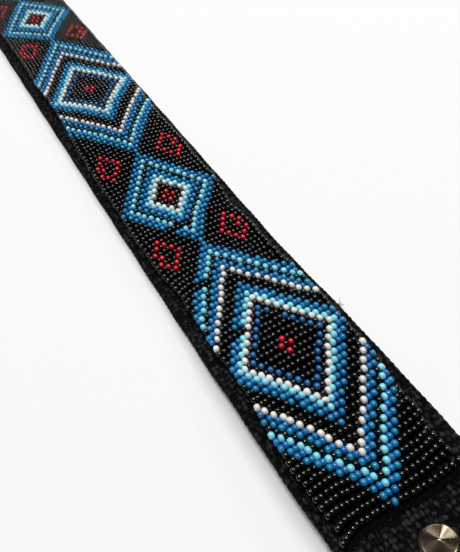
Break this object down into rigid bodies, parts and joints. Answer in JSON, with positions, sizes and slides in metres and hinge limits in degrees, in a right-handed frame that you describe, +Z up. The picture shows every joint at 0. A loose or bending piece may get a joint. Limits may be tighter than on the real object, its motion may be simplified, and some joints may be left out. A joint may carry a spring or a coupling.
{
  "type": "beaded belt",
  "caption": "Black webbing belt with a loom-woven seed bead panel in a diamond pattern, a cone stud and a plain frame buckle, lying flat.",
  "frame": {"origin": "centre of the belt's length and width, on the surface that it lies on", "axes": "+X along the belt from the buckle to the tip, +Y across the belt, +Z up from the surface"},
  "size_m": [1.0822, 0.052, 0.0122],
  "materials": {
    "webbing": "coarse woven black webbing",
    "glass_beads": "opaque glossy seed beads",
    "antique_brass": "dark antique, polished",
    "buckle_metal": "dark antique, satin"
  },
  "bodies": {
    "root": {"strap": "webbing", "bead_panel": "glass_beads", "cone_stud": "antique_brass", "buckle": "buckle_metal"}
  },
  "joints": []
}
